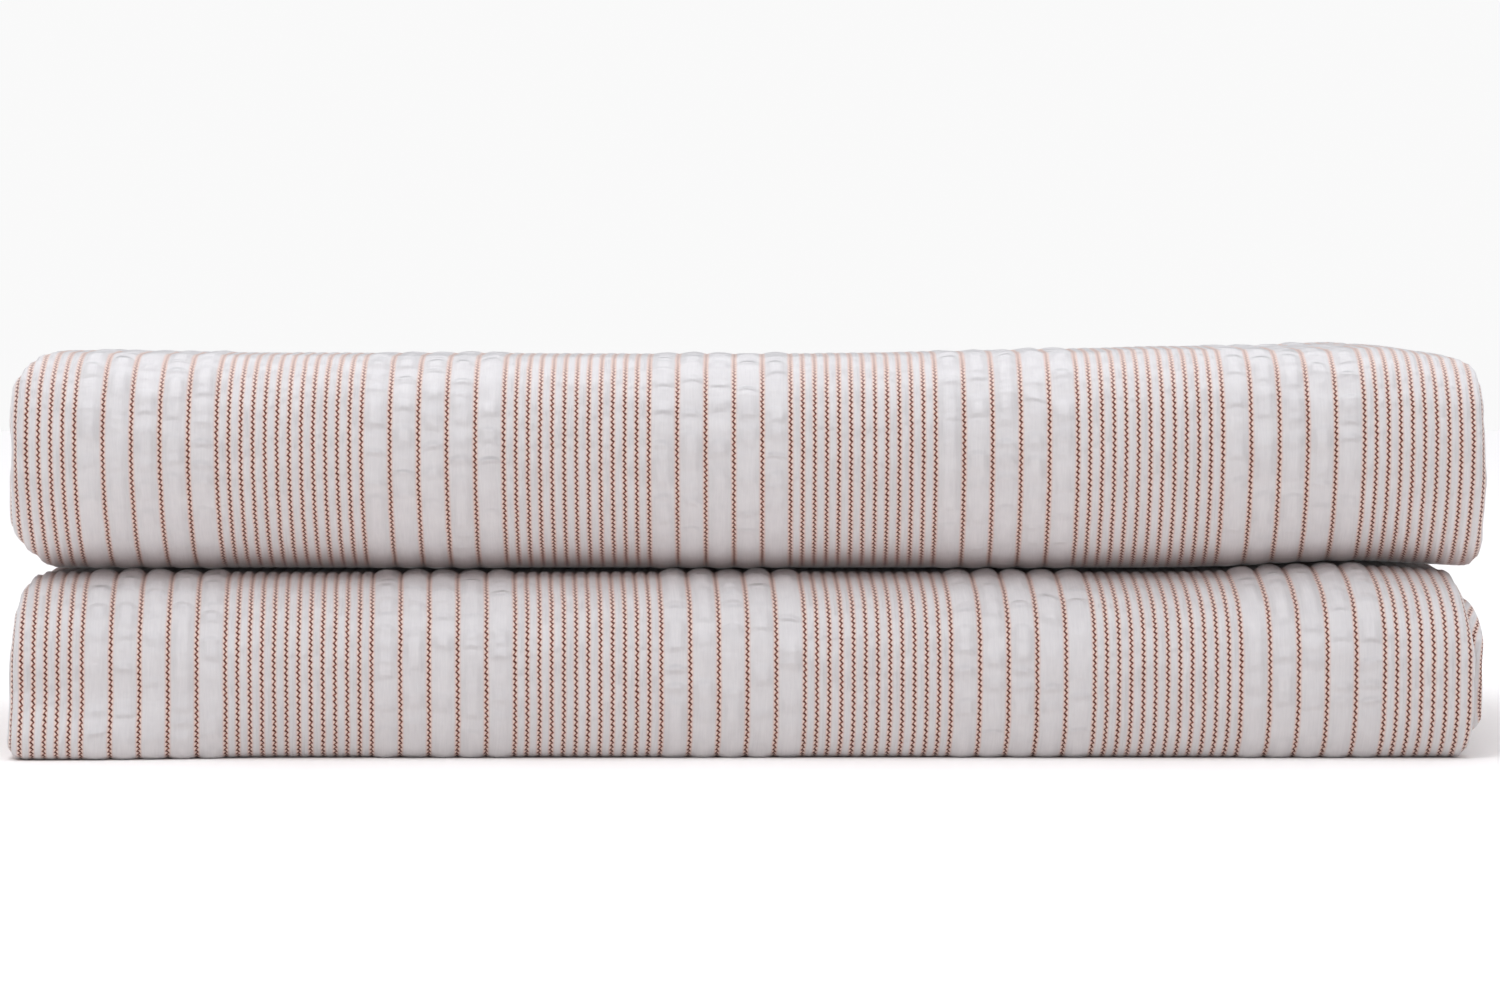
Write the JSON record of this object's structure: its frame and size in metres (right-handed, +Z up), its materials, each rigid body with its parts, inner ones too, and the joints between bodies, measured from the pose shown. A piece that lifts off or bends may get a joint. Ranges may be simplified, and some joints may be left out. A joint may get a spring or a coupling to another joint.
{
  "type": "folded bedspread",
  "caption": "Cotton bedspread with woven channels and pinstripes, quartered across its width, folded in to the middle and closed like a book, with fat folds at the front.",
  "frame": {"origin": "centre of the folded bedspread's footprint, on the surface that it lies on", "axes": "+Z up, +X along the width of the folded pile, -Y out of the front, where the two folded noses show"},
  "size_m": [0.6, 0.301, 0.1666],
  "materials": {
    "woven_cotton": "matt white cotton with brick red pinstripes"
  },
  "bodies": {
    "root": {"bedspread": "woven_cotton"}
  },
  "joints": []
}
